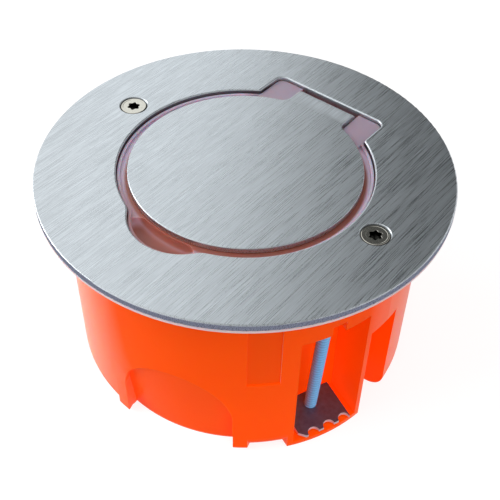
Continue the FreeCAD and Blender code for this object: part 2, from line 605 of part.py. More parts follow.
def make_socket_face():
    """Square insert with the round plug well, clipped under the support frame."""
    half = MODULE / 2
    lip = square_prism(half + MODULE_LIP, MODULE_CORNER, FLANGE_BOTTOM, FACE_TOP)
    skirt = block((-half, half), (-half, half), (FACE_BOTTOM, FLANGE_BOTTOM))
    room = half - MODULE_WALL
    skirt = skirt.cut(block((-room, room), (-room, room), (FACE_BOTTOM, FLANGE_BOTTOM - MODULE_WALL)))
    cup = rod(WELL_RADIUS + MODULE_WALL, WELL_BASE - WELL_FLOOR, FLANGE_BOTTOM)
    clips = []
    for low in (-half - CLIP_PROUD, half):
        clips.append(block((-CLIP_HALF, CLIP_HALF), (low, low + CLIP_PROUD),
                           (SUPPORT_BOTTOM - CLIP_HEIGHT, SUPPORT_BOTTOM)))
    cuts = [rod(WELL_RADIUS, WELL_BASE, FACE_TOP),
            rod(EARTH_RADIUS + EARTH_CLEARANCE, WELL_BASE - WELL_FLOOR, WELL_BASE, 0, EARTH_OFFSET)]
    for x, y in pin_places():
        cuts.append(rod(PIN_HOLE, WELL_BASE - WELL_FLOOR, WELL_BASE, x, y))
    return lip.fuse([skirt, cup] + clips).cut(cuts).removeSplitter()


def make_socket_shutter():
    """Sliding bar that closes the pin holes, ramped under each of them."""
    top = WELL_BASE - WELL_FLOOR - SHUTTER_PLAY
    low = SHELF_TOP + SHUTTER_PLAY
    wide = (-SHUTTER_HALF_WIDTH, SHUTTER_HALF_WIDTH)
    bar = block((-SHUTTER_HALF_LENGTH, SHUTTER_HALF_LENGTH), wide, (low, top))
    for x, y in pin_places():
        face = Part.makePolygon([FreeCAD.Vector(x - PIN_HOLE, wide[0], top),
                                 FreeCAD.Vector(x - PIN_HOLE, wide[1], top),
                                 FreeCAD.Vector(x - PIN_HOLE, wide[1], top - SHUTTER_RAMP),
                                 FreeCAD.Vector(x - PIN_HOLE, wide[0], top)])
        bar = bar.cut(Part.Face(face).extrude(FreeCAD.Vector(2 * PIN_HOLE, 0, 0)))
    return bar


def make_socket_rear():
    """Rear housing with the shutter's shelf and guides, and recesses for the terminal screws."""
    half = MODULE / 2
    room = half - REAR_WALL
    body = block((-half, half), (-half, half), (REAR_BOTTOM, FACE_BOTTOM))
    body = body.cut(block((-room, room), (-room, room), (SHELF_TOP, FACE_BOTTOM)))
    body = body.cut(block((-room, room), (-room, room), (REAR_FLOOR_TOP, SHELF_BOTTOM)))
    guide_top = WELL_BASE - WELL_FLOOR - SHUTTER_PLAY
    travel = (-SHUTTER_HALF_WIDTH - SHUTTER_TRAVEL - GUIDE_GAP, SHUTTER_HALF_WIDTH + GUIDE_GAP)
    inner = SHUTTER_HALF_LENGTH + GUIDE_GAP
    for low in (-inner - GUIDE_WIDTH, inner):
        body = body.fuse(block((low, low + GUIDE_WIDTH), travel, (SHELF_TOP, guide_top)))
    cuts = [rod(EARTH_RADIUS + EARTH_CLEARANCE, SHELF_BOTTOM, SHELF_TOP, 0, EARTH_OFFSET)]
    for x, y in pin_places():
        cuts.append(rod(PIN_HOLE, SHELF_BOTTOM, SHELF_TOP, x, y))
    for x, y in terminal_places():
        sink_top = REAR_BOTTOM + TERMINAL_SINK
        cuts.append(rod(TERMINAL_HEAD + TERMINAL_CLEARANCE, REAR_BOTTOM, sink_top, x, y))
        cuts.append(rod(TERMINAL_SHANK + TERMINAL_CLEARANCE, sink_top, REAR_FLOOR_TOP, x, y))
    return body.cut(cuts).removeSplitter()


def make_earth_pin():
    """Round earth pin with a domed tip, standing on the rear housing's floor."""
    top = WELL_BASE + EARTH_HEIGHT
    pin = rod(EARTH_RADIUS, REAR_FLOOR_TOP, top, 0, EARTH_OFFSET)
    return pin.makeFillet(EARTH_RADIUS * 0.8, level_edges(pin, top))


def make_contact(side):
    """U-shaped spring clip that takes one plug pin."""
    x = side * PIN_PITCH / 2
    wide = (-CONTACT_WIDTH / 2, CONTACT_WIDTH / 2)
    top = SHELF_BOTTOM - SHUTTER_PLAY
    outer = block((x - CONTACT_HALF, x + CONTACT_HALF), wide, (REAR_FLOOR_TOP, top))
    inner_half = CONTACT_HALF - CONTACT_THICKNESS
    inner = block((x - inner_half, x + inner_half), wide, (REAR_FLOOR_TOP + CONTACT_THICKNESS, top))
    return outer.cut(inner)


def terminal_places():
    return pin_places() + [(0.0, EARTH_OFFSET)]


def make_terminal_screws():
    """Slotted screws under the rear housing, one under each conductor."""
    screws = []
    sink_top = REAR_BOTTOM + TERMINAL_SINK
    for x, y in terminal_places():
        head = rod(TERMINAL_HEAD, sink_top - TERMINAL_HEAD_HEIGHT, sink_top, x, y)
        shank = rod(TERMINAL_SHANK, sink_top, REAR_FLOOR_TOP, x, y)
        slot = block((x - TERMINAL_HEAD, x + TERMINAL_HEAD), (y - TERMINAL_SLOT / 2, y + TERMINAL_SLOT / 2),
                     (sink_top - TERMINAL_HEAD_HEIGHT, sink_top - TERMINAL_HEAD_HEIGHT / 2))
        screws.append(head.fuse(shank).cut(slot))
    return Part.makeCompound(screws)


pieces = {
    "back_box": make_back_box(),
    "plate_seal": make_plate_seal(),
    "cover_plate": make_cover_plate(),
    "lid": make_lid(),
    "hinge_pin": make_hinge_pin(),
    "lid_frame": make_lid_frame(),
    "lid_gasket": make_lid_gasket(),
    "support_frame": make_support_frame(),
    "socket_face": make_socket_face(),
    "socket_shutter": make_socket_shutter(),
    "socket_rear": make_socket_rear(),
    "earth_pin": make_earth_pin(),
    "live_contact": make_contact(1),
    "neutral_contact": make_contact(-1),
    "terminal_screws": make_terminal_screws(),
}
for name, side in SIDES.items():
    pieces["claw_" + name] = make_claw(CLAW_ANGLE + side)
    pieces["claw_screw_" + name] = make_claw_screw(CLAW_ANGLE + side)
    pieces["cover_screw_" + name] = make_cover_screw(side)

os.makedirs("parts", exist_ok=True)
for name, shape in pieces.items():
    shape.exportStep("parts/" + name + ".step")
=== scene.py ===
"""Looks of a round flush floor socket box: brushed stainless cover, moulded orange box, zinc hardware."""
import json
import math

import bmesh
import bpy
from mathutils import Matrix, Vector


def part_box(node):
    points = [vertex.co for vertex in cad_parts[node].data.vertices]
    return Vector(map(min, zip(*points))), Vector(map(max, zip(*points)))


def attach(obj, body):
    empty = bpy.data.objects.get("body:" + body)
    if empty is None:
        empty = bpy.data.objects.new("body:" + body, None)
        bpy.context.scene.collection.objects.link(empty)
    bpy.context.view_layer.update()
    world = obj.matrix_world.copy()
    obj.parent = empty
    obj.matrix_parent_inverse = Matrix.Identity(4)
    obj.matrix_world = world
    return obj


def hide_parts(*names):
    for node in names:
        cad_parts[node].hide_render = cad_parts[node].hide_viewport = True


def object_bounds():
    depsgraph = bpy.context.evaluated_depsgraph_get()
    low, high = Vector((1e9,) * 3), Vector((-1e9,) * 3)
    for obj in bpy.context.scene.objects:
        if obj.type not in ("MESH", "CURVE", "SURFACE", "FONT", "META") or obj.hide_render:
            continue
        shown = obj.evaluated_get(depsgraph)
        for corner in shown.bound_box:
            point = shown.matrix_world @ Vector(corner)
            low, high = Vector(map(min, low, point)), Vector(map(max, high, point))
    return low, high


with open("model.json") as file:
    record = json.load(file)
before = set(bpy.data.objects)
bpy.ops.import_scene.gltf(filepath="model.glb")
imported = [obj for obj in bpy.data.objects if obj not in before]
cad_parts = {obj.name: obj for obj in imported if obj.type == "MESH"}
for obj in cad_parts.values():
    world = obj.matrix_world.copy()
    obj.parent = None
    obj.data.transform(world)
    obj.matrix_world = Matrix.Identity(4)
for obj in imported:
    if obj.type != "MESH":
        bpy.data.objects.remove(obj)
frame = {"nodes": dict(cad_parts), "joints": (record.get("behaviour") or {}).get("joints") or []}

CAD_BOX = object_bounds()

bl_info = {
    "name": "Flush Floor Socket Box",
    "version": (1, 0, 0),
    "blender": (4, 5, 0),
    "location": "View3D > Sidebar > Floor Box",
    "description": "Dresses a round flush floor socket box and sets its studio",
    "category": "Object",
}

MM = 0.001
NODES = frame["nodes"]
JOINTS = {joint["name"]: joint for joint in frame["joints"]}
SIDES = ("right", "left")

# The Mix node's sockets go by number, because its values and its colours share their names
FACTOR, VALUE_A, VALUE_B, COLOUR_A, COLOUR_B = 0, 2, 3, 6, 7
MIXED_VALUE, MIXED_COLOUR = 0, 2


def srgb(code):
    """Linear colour of an sRGB hex value."""
    channels = [int(code[i:i + 2], 16) / 255 for i in (1, 3, 5)]
    return tuple(c / 12.92 if c <= 0.04045 else ((c + 0.055) / 1.055) ** 2.4 for c in channels)


def shade(colour, factor=1.0):
    """Colour socket value: the colour made darker or lighter."""
    return (*(min(1.0, channel * factor) for channel in colour), 1.0)


def colour_prop(name, description, code):
    """Colour property whose default is an sRGB hex value."""
    return bpy.props.FloatVectorProperty(name=name, description=description, subtype="COLOR", size=3,
                                         min=0.0, max=1.0, default=srgb(code))


def length_prop(name, description, millimetres):
    """Length property whose default is given in millimetres."""
    return bpy.props.FloatProperty(name=name, description=description, subtype="DISTANCE", unit="LENGTH",
                                   default=millimetres * MM)


class FloorBoxColours(bpy.types.PropertyGroup):
    """Colours of the finishes."""
    steel: colour_prop("Stainless", "Brushed cover plate and lid", "#D7DEE3")
    orange: colour_prop("Box", "Moulded polypropylene of the back box", "#F05005")
    # Painted glow: an emission colour that stands in for light through the walls
    glow: colour_prop("Box glow", "Light that goes through the walls of the back box", "#F04200")
    # Painted sheen: a pale colour mixed in where the wall turns away
    sheen: colour_prop("Box haze", "Pale edge of the back box where its wall turns away", "#F8CAB8")
    lilac: colour_prop("Lid frame", "Translucent polycarbonate under the plate", "#AE9AAC")
    # Painted warm tone: light of the orange box through the frame, and shade
    dish: colour_prop("Finger dish", "The frame where the orange box shows through it", "#9E594C")
    seal: colour_prop("Seal", "Pale silicone under the plate", "#F2D6D8")
    blue_zinc: colour_prop("Claw screw", "Blue passivated zinc", "#6CACFF")
    spring_steel: colour_prop("Claw", "Dark hardened sheet", "#666E80")
    cut_steel: colour_prop("Claw edge", "Bright punched edge", "#DAD2DA")
    screw_steel: colour_prop("Cover screw", "Turned stainless", "#D6D4CA")
    zinc: colour_prop("Support", "Zinc plated sheet", "#B9BDC2")
    urea: colour_prop("Socket face", "White moulded urea", "#ECEBE6")
    nylon: colour_prop("Socket rear", "Grey moulded nylon", "#9A9DA2")
    nickel: colour_prop("Earth pin", "Nickel on brass", "#CFC9BA")
    brass: colour_prop("Contacts", "Stamped brass", "#D2A650")
    floor: colour_prop("Floor", "Pale studio floor", "#929292")
    flag: colour_prop("Flag", "Studio flag in front of the box", "#878799")


class FloorBoxSizes(bpy.types.PropertyGroup):
    """Sizes of the details that are added to the solids."""
    grain_width: length_prop("Grain width", "Width of a brushed line", 0.13)
    grain_length: length_prop("Grain length", "Length of a brushed line", 6.5)
    scratch_width: length_prop("Scratch width", "Width of a dark scratch in the grain", 0.221)
    scratch_length: length_prop("Scratch length", "Length of a dark scratch in the grain", 15.6)
    claw_pitch: length_prop("Claw screw pitch", "Distance between threads", 1.3)
    claw_thread: length_prop("Claw screw thread depth", "Height of the thread", 0.5)
    claw_crest: length_prop("Claw screw radius", "From the axis to the crest of the thread", 2.0)
    claw_head: length_prop("Claw screw head", "Radius of the head", 3.4)
    claw_tip: length_prop("Claw screw tip", "From the joint down to the tip", 1.8)
    claw_seat: length_prop("Claw screw seat", "From the joint up to the underside of the head", 50.56)
    cover_pitch: length_prop("Cover screw pitch", "Distance between threads", 0.7)
    cover_thread: length_prop("Cover screw thread depth", "Height of the thread", 0.4)
    cover_crest: length_prop("Cover screw radius", "From the axis to the crest of the thread", 2.0)
    cover_drive: length_prop("Cover screw drive", "Depth of the six-lobe drive", 1.6)


def colours():
    return bpy.context.scene.floor_box_colours


def sizes():
    return bpy.context.scene.floor_box_sizes


# Finishes


def add(tree, kind, inputs=None, **settings):
    """Add a node with its settings; an input takes a value, or the socket that feeds it."""
    made = tree.nodes.new(kind)
    for name, value in settings.items():
        setattr(made, name, value)
    for name, value in (inputs or {}).items():
        if isinstance(value, bpy.types.NodeSocket):
            tree.links.new(value, made.inputs[name])
        else:
            made.inputs[name].default_value = value
    return made.outputs


def start_material(name, **sockets):
    """Material with one principled shader; socket names are given with _ for a space."""
    material = bpy.data.materials.new(name)
    material.use_nodes = True
    tree = material.node_tree
    shader = tree.nodes["Principled BSDF"].inputs
    for socket, value in sockets.items():
        shader[socket.replace("_", " ")].default_value = value
    return material, tree, shader


def grain_scale(width, length):
    """Scale of a pattern that is drawn out along Y."""
    return 1 / width, 1 / length, 1 / width


def brushed_stainless(tint):
    """Stainless sheet, belt brushed along Y: fine lines break the reflection up along the grain.

    Longer scratches in it are darker and smoother. They are drawn coarser than real ones, to show.
    """
    line_scale = grain_scale(sizes().grain_width, sizes().grain_length)
    scratch_scale = grain_scale(sizes().scratch_width, sizes().scratch_length)
    line_depth = 0.04 * MM
    material, tree, shader = start_material("Brushed stainless", Metallic=1.0)
    place = add(tree, "ShaderNodeTexCoord")["Object"]
    line_place = add(tree, "ShaderNodeMapping", {"Vector": place, "Scale": line_scale})["Vector"]
    scratch_place = add(tree, "ShaderNodeMapping", {"Vector": place, "Scale": scratch_scale})["Vector"]
    lines = add(tree, "ShaderNodeTexNoise", {"Vector": line_place, "Scale": 1.0, "Detail": 2.0,
                                             "Roughness": 0.6})["Fac"]
    scratches = add(tree, "ShaderNodeTexNoise", {"Vector": scratch_place, "Scale": 1.0,
                                                 "Detail": 1.0})["Fac"]
    spread = add(tree, "ShaderNodeMapRange", {"Value": lines, "From Min": 0.32, "From Max": 0.62})["Result"]
    cut = add(tree, "ShaderNodeMapRange", {"Value": scratches, "From Min": 0.46,
                                           "From Max": 0.63})["Result"]
    fine = add(tree, "ShaderNodeMix", {FACTOR: spread, COLOUR_A: shade(tint, 0.88),
                                       COLOUR_B: shade(tint, 1.07)}, data_type="RGBA")[MIXED_COLOUR]
    tone = add(tree, "ShaderNodeMix", {FACTOR: cut, COLOUR_A: fine, COLOUR_B: shade(tint, 0.78)},
               data_type="RGBA")[MIXED_COLOUR]
    gloss = add(tree, "ShaderNodeMapRange", {"Value": spread, "To Min": 0.45, "To Max": 0.32})["Result"]
    rough = add(tree, "ShaderNodeMix", {FACTOR: cut, VALUE_A: gloss, VALUE_B: 0.27})[MIXED_VALUE]
    relief = add(tree, "ShaderNodeBump", {"Height": lines, "Strength": 0.7,
                                          "Distance": line_depth})["Normal"]
    tree.links.new(tone, shader["Base Color"])
    tree.links.new(rough, shader["Roughness"])
    tree.links.new(relief, shader["Normal"])
    return material


def tear_grain(material, start, full):
    """Where the sheet is bent its grain is torn, matt and pitted.

    It begins at start and is complete at full, both shares of the sheet's length along Y.
    """
    pit_size, pit_depth = 0.45 * MM, 0.12 * MM
    tree = material.node_tree
    shader = tree.nodes["Principled BSDF"].inputs
    smooth = shader["Roughness"].links[0].from_socket
    flat = shader["Normal"].links[0].from_socket
    coordinates = add(tree, "ShaderNodeTexCoord")
    along = add(tree, "ShaderNodeSeparateXYZ", {"Vector": coordinates["Generated"]})["Y"]
    torn = add(tree, "ShaderNodeMapRange", {"Value": along, "From Min": start, "From Max": full})["Result"]
    pits = add(tree, "ShaderNodeTexNoise", {"Vector": coordinates["Object"], "Scale": 1 / pit_size,
                                            "Detail": 3.0})["Fac"]
    matt = add(tree, "ShaderNodeMix", {FACTOR: torn, VALUE_A: smooth, VALUE_B: 0.62})[MIXED_VALUE]
    pitted = add(tree, "ShaderNodeBump", {"Height": pits, "Strength": torn, "Distance": pit_depth,
                                          "Normal": flat})["Normal"]
    tree.links.new(matt, shader["Roughness"])
    tree.links.new(pitted, shader["Normal"])
    return material


def paint_cut_shade(material, tint, screws):
    """Painted shade: the plate's cut walls, and the countersinks round its screws, see little light, so
    their colour is painted dark.

    Walls behind the hinge are only a little darker, and in front of it the outer rim stays bright.
    """
    rim, rim_fade = 2 * MM, 1 * MM
    notch_start, notch_wall = 36 * MM, 40 * MM
    sink_start, sink_full = 0.1 * MM, 0.25 * MM
    sink_gap, sink_fade = 0.6 * MM, 0.2 * MM
    tree = material.node_tree
    shader = tree.nodes["Principled BSDF"].inputs
    brushed = shader["Base Color"].links[0].from_socket
    coordinates = add(tree, "ShaderNodeTexCoord")
    place = coordinates["Object"]
    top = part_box("cover_plate")[1]
    up = add(tree, "ShaderNodeSeparateXYZ", {"Vector": coordinates["Normal"]})["Z"]
    upright = add(tree, "ShaderNodeMapRange", {"Value": up, "From Min": 0.45, "From Max": 0.1})["Result"]
    level = add(tree, "ShaderNodeVectorMath", {0: place, 1: (1, 1, 0)}, operation="MULTIPLY")["Vector"]
    reach = add(tree, "ShaderNodeVectorMath", {0: level}, operation="LENGTH")["Value"]
    inside = add(tree, "ShaderNodeMapRange", {"Value": reach, "From Min": top[0] - rim,
                                              "From Max": top[0] - rim - rim_fade})["Result"]
    spot = add(tree, "ShaderNodeSeparateXYZ", {"Vector": place})
    front = add(tree, "ShaderNodeMapRange", {"Value": spot["Y"], "From Min": notch_wall,
                                             "From Max": notch_start, "To Min": 0.25,
                                             "To Max": inside})["Result"]
    dark = add(tree, "ShaderNodeMath", {0: upright, 1: front}, operation="MULTIPLY")["Value"]
    sunk = add(tree, "ShaderNodeMapRange", {"Value": spot["Z"], "From Min": top[2] - sink_start,
                                            "From Max": top[2] - sink_full})["Result"]
    for screw in screws:
        low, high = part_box(screw)
        axis = ((low[0] + high[0]) / 2, (low[1] + high[1]) / 2, 0.0)
        head = (high[0] - low[0]) / 2
        apart = add(tree, "ShaderNodeVectorMath", {0: level, 1: axis}, operation="DISTANCE")["Value"]
        near = add(tree, "ShaderNodeMapRange", {"Value": apart, "From Min": head + sink_gap + sink_fade,
                                                "From Max": head + sink_gap})["Result"]
        sink_shade = add(tree, "ShaderNodeMath", {0: near, 1: sunk}, operation="MULTIPLY")["Value"]
        dark = add(tree, "ShaderNodeMath", {0: dark, 1: sink_shade}, operation="MAXIMUM")["Value"]
    # The painted shade is a dark copy of the steel's colour
    tone = add(tree, "ShaderNodeMix", {FACTOR: dark, COLOUR_A: brushed, COLOUR_B: shade(tint, 0.22)},
               data_type="RGBA")[MIXED_COLOUR]
    tree.links.new(tone, shader["Base Color"])
    return material


def moulded_polypropylene(tint, glow, sheen):
    """Injection moulded polypropylene: semi-gloss and waxy, with light in its walls from subsurface
    scattering and from a painted glow, most near the foot.

    It has a painted sheen, pale where it turns away, and painted shade makes it a little darker in the thin
    panels of the windows.
    """
    cloud_size, skin_size, skin_depth = 18 * MM, 1.2 * MM, 0.05 * MM
    edge_radius = 0.4 * MM
    glow_low, glow_high = 5 * MM, 60 * MM
    panel_half, panel_fade, panel_height = 4.7 * MM, 0.3 * MM, 34 * MM
    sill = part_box("back_box")[1][2] - panel_height
    across_windows = (math.sqrt(0.5), math.sqrt(0.5), 0.0)
    material, tree, shader = start_material("Moulded polypropylene", IOR=1.49, Subsurface_Weight=0.5,
                                            Subsurface_Scale=4 * MM, Subsurface_Radius=(1.0, 0.3, 0.08),
                                            Specular_IOR_Level=0.08, Emission_Color=shade(glow))
    coordinates = add(tree, "ShaderNodeTexCoord")
    place = coordinates["Object"]
    height = add(tree, "ShaderNodeSeparateXYZ", {"Vector": place})["Z"]
    # Painted glow, an emission: faces that look towards the axis of the box don't glow
    level = add(tree, "ShaderNodeVectorMath", {0: place, 1: (1, 1, 0)}, operation="MULTIPLY")["Vector"]
    outward = add(tree, "ShaderNodeVectorMath", {0: level}, operation="NORMALIZE")["Vector"]
    facing = add(tree, "ShaderNodeVectorMath", {0: outward, 1: coordinates["Normal"]},
                 operation="DOT_PRODUCT")["Value"]
    glowing = add(tree, "ShaderNodeMapRange", {"Value": height, "From Min": glow_low, "From Max": glow_high,
                                               "To Min": 0.47, "To Max": 0.28})["Result"]
    painted_glow = add(tree, "ShaderNodeMapRange", {"Value": facing, "From Min": -0.8, "From Max": -0.4,
                                           "To Max": glowing})["Result"]
    clouds = add(tree, "ShaderNodeTexNoise", {"Vector": place, "Scale": 1 / cloud_size,
                                              "Detail": 2.0})["Fac"]
    body = add(tree, "ShaderNodeMix", {FACTOR: clouds, COLOUR_A: shade(tint, 0.93),
                                       COLOUR_B: shade(tint, 1.05)}, data_type="RGBA")[MIXED_COLOUR]
    # Painted sheen: upright walls turn pale at a slant, faces that look down hardly do
    aside = add(tree, "ShaderNodeLayerWeight", {"Blend": 0.5})["Facing"]
    lean = add(tree, "ShaderNodeSeparateXYZ", {"Vector": coordinates["Normal"]})["Z"]
    upright = add(tree, "ShaderNodeMapRange", {"Value": lean, "From Min": -0.12, "From Max": -0.03,
                                               "To Min": 0.1, "To Max": 0.8})["Result"]
    pale = add(tree, "ShaderNodeMapRange", {"Value": aside, "From Min": 0.6, "From Max": 0.95,
                                            "To Max": upright})["Result"]
    # Painted shade: the window panels are painted a little darker than the wall
    lateral = add(tree, "ShaderNodeVectorMath", {0: place, 1: across_windows},
                  operation="DOT_PRODUCT")["Value"]
    apart = add(tree, "ShaderNodeMath", {0: lateral}, operation="ABSOLUTE")["Value"]
    panel = add(tree, "ShaderNodeMapRange", {"Value": apart, "From Min": panel_half + panel_fade,
                                             "From Max": panel_half})["Result"]
    above = add(tree, "ShaderNodeMapRange", {"Value": height, "From Min": sill,
                                             "From Max": sill + panel_fade})["Result"]
    thin = add(tree, "ShaderNodeMath", {0: panel, 1: above}, operation="MULTIPLY")["Value"]
    wall = add(tree, "ShaderNodeMix", {FACTOR: thin, COLOUR_A: body, COLOUR_B: shade(tint, 0.84)},
               data_type="RGBA")[MIXED_COLOUR]
    tone = add(tree, "ShaderNodeMix", {FACTOR: pale, COLOUR_A: wall, COLOUR_B: shade(sheen)},
               data_type="RGBA")[MIXED_COLOUR]
    skin = add(tree, "ShaderNodeTexNoise", {"Vector": place, "Scale": 1 / skin_size, "Detail": 3.0})["Fac"]
    gloss = add(tree, "ShaderNodeMapRange", {"Value": skin, "To Min": 0.28, "To Max": 0.4})["Result"]
    soft_edge = add(tree, "ShaderNodeBevel", {"Radius": edge_radius}, samples=6)["Normal"]
    relief = add(tree, "ShaderNodeBump", {"Height": skin, "Strength": 0.1, "Distance": skin_depth,
                                          "Normal": soft_edge})["Normal"]
    tree.links.new(tone, shader["Base Color"])
    tree.links.new(gloss, shader["Roughness"])
    tree.links.new(relief, shader["Normal"])
    tree.links.new(painted_glow, shader["Emission Strength"])
    return material


def moulded_polycarbonate(tint, warm):
    """Moulded translucent polycarbonate: satin lilac, painted paler round the lid, against the shade of its
    groove, than in the hinge blocks.

    A painted warm tone stands for the orange box's light through it and for shade: deep down, towards the
    front, and beside the lid away from the light.
    """
    skin_size, edge_radius = 0.8 * MM, 0.25 * MM
    ring_start, ring_full, ring_shift = 36.0 * MM, 36.8 * MM, 0.75 * MM
    dish_front, dish_rear = -38 * MM, -26 * MM
    block_start, block_full = 29 * MM, 31 * MM
    lip_low, lip_high = 0.5 * MM, 0.2 * MM
    warm_low, warm_high = 3.6 * MM, 0.9 * MM
    material, tree, shader = start_material("Moulded polycarbonate", IOR=1.58, Subsurface_Weight=0.6,
                                            Subsurface_Scale=4 * MM)
    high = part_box("lid_frame")[1]
    place = add(tree, "ShaderNodeTexCoord")["Object"]
    spot = add(tree, "ShaderNodeSeparateXYZ", {"Vector": place})
    # The centre is shifted right and forward, so the painted warm shade lies beside the lid on that side
    middle = (ring_shift, -ring_shift, high[2])
    reach = add(tree, "ShaderNodeVectorMath", {0: place, 1: middle}, operation="DISTANCE")["Value"]
    clear = add(tree, "ShaderNodeMapRange", {"Value": reach, "From Min": ring_start,
                                             "From Max": ring_full})["Result"]
    lip = add(tree, "ShaderNodeMapRange", {"Value": spot["Z"], "From Min": high[2] - lip_low,
                                           "From Max": high[2] - lip_high})["Result"]
    front = add(tree, "ShaderNodeMapRange", {"Value": spot["Y"], "From Min": dish_front,
                                             "From Max": dish_rear, "To Min": 0.35})["Result"]
    edge = add(tree, "ShaderNodeMath", {0: clear, 1: lip}, operation="MAXIMUM")["Value"]
    ring = add(tree, "ShaderNodeMath", {0: edge, 1: front}, operation="MULTIPLY")["Value"]
    deep = add(tree, "ShaderNodeMapRange", {"Value": spot["Z"], "From Min": high[2] - warm_low,
                                            "From Max": high[2] - warm_high})["Result"]
    depth = add(tree, "ShaderNodeMath", {0: ring, 1: deep}, operation="MINIMUM")["Value"]
    hinge = add(tree, "ShaderNodeMapRange", {"Value": spot["Y"], "From Min": block_start,
                                             "From Max": block_full})["Result"]
    # Painted light: the ring's lilac is lighter against its shade, the blocks' is darker
    clean = add(tree, "ShaderNodeMix", {FACTOR: hinge, COLOUR_A: shade(tint, 1.55),
                                        COLOUR_B: shade(tint, 0.84)}, data_type="RGBA")[MIXED_COLOUR]
    tone = add(tree, "ShaderNodeMix", {FACTOR: depth, COLOUR_A: shade(warm), COLOUR_B: clean},
               data_type="RGBA")[MIXED_COLOUR]
    skin = add(tree, "ShaderNodeTexNoise", {"Vector": place, "Scale": 1 / skin_size, "Detail": 3.0})["Fac"]
    gloss = add(tree, "ShaderNodeMapRange", {"Value": skin, "To Min": 0.28, "To Max": 0.42})["Result"]
    soft_edge = add(tree, "ShaderNodeBevel", {"Radius": edge_radius}, samples=6)["Normal"]
    tree.links.new(tone, shader["Base Color"])
    tree.links.new(gloss, shader["Roughness"])
    tree.links.new(soft_edge, shader["Normal"])
    return material


def moulded_silicone(tint):
    """Soft moulded silicone: pale and matt, with light inside."""
    cloud_size = 3 * MM
    material, tree, shader = start_material("Moulded silicone", Roughness=0.55, IOR=1.43,
                                            Subsurface_Weight=0.3, Subsurface_Scale=2 * MM)
    place = add(tree, "ShaderNodeTexCoord")["Object"]
    clouds = add(tree, "ShaderNodeTexNoise", {"Vector": place, "Scale": 1 / cloud_size})["Fac"]
    tone = add(tree, "ShaderNodeMix", {FACTOR: clouds, COLOUR_A: shade(tint, 0.92),
                                       COLOUR_B: shade(tint, 1.05)}, data_type="RGBA")[MIXED_COLOUR]
    tree.links.new(tone, shader["Base Color"])
    return material


def fine_metal(name, tint, roughness):
    """Plated, stamped or turned metal: one colour, with a fine grain that varies its gloss."""
    grain_size = 0.6 * MM
    material, tree, shader = start_material(name, Metallic=1.0)
    place = add(tree, "ShaderNodeTexCoord")["Object"]
    grain = add(tree, "ShaderNodeTexNoise", {"Vector": place, "Scale": 1 / grain_size,
                                             "Detail": 3.0})["Fac"]
    tone = add(tree, "ShaderNodeMix", {FACTOR: grain, COLOUR_A: shade(tint, 0.88),
                                       COLOUR_B: shade(tint, 1.08)}, data_type="RGBA")[MIXED_COLOUR]
    gloss = add(tree, "ShaderNodeMapRange", {"Value": grain, "To Min": roughness * 0.8,
                                             "To Max": roughness * 1.2})["Result"]
    tree.links.new(tone, shader["Base Color"])
    tree.links.new(gloss, shader["Roughness"])
    return material


def rolled_zinc(tint):
    """Blue passivated zinc on a rolled thread: painted light on the crests and painted shade in the roots,
    more blue film than metal.
    """
    material, tree, shader = start_material("Blue passivated zinc", Metallic=0.08, Roughness=0.27)
    # Painted shade in the roots of the thread, painted light on its crests
    bend = add(tree, "ShaderNodeNewGeometry")["Pointiness"]
    crest = add(tree, "ShaderNodeMapRange", {"Value": bend, "From Min": 0.42, "From Max": 0.53})["Result"]
    tone = add(tree, "ShaderNodeMix", {FACTOR: crest, COLOUR_A: shade(tint, 0.35),
                                       COLOUR_B: shade(tint, 1.4)}, data_type="RGBA")[MIXED_COLOUR]
    tree.links.new(tone, shader["Base Color"])
    return material


def turned_stainless(tint, top):
    """Turned stainless screw: a smooth bright head, and a drive that is black below its mouth, as painted
    shade.
    """
    grain_size = 0.6 * MM
    mouth, black = 0.05 * MM, 0.11 * MM
    material, tree, shader = start_material("Turned stainless", Metallic=1.0, Roughness=0.16)
    place = add(tree, "ShaderNodeTexCoord")["Object"]
    height = add(tree, "ShaderNodeSeparateXYZ", {"Vector": place})["Z"]
    # Painted shade: below the mouth of the drive the screw is painted nearly black, the rim of its head too
    above_painted_shade = add(tree, "ShaderNodeMapRange", {"Value": height, "From Min": top - black,
                                                "From Max": top - mouth})["Result"]
    grain = add(tree, "ShaderNodeTexNoise", {"Vector": place, "Scale": 1 / grain_size,
                                             "Detail": 3.0})["Fac"]
    skin = add(tree, "ShaderNodeMix", {FACTOR: grain, COLOUR_A: shade(tint, 0.85),
                                       COLOUR_B: shade(tint, 1.1)}, data_type="RGBA")[MIXED_COLOUR]
    tone = add(tree, "ShaderNodeMix", {FACTOR: above_painted_shade, COLOUR_A: shade(tint, 0.03), COLOUR_B: skin},
               data_type="RGBA")[MIXED_COLOUR]
    tree.links.new(tone, shader["Base Color"])
    return material


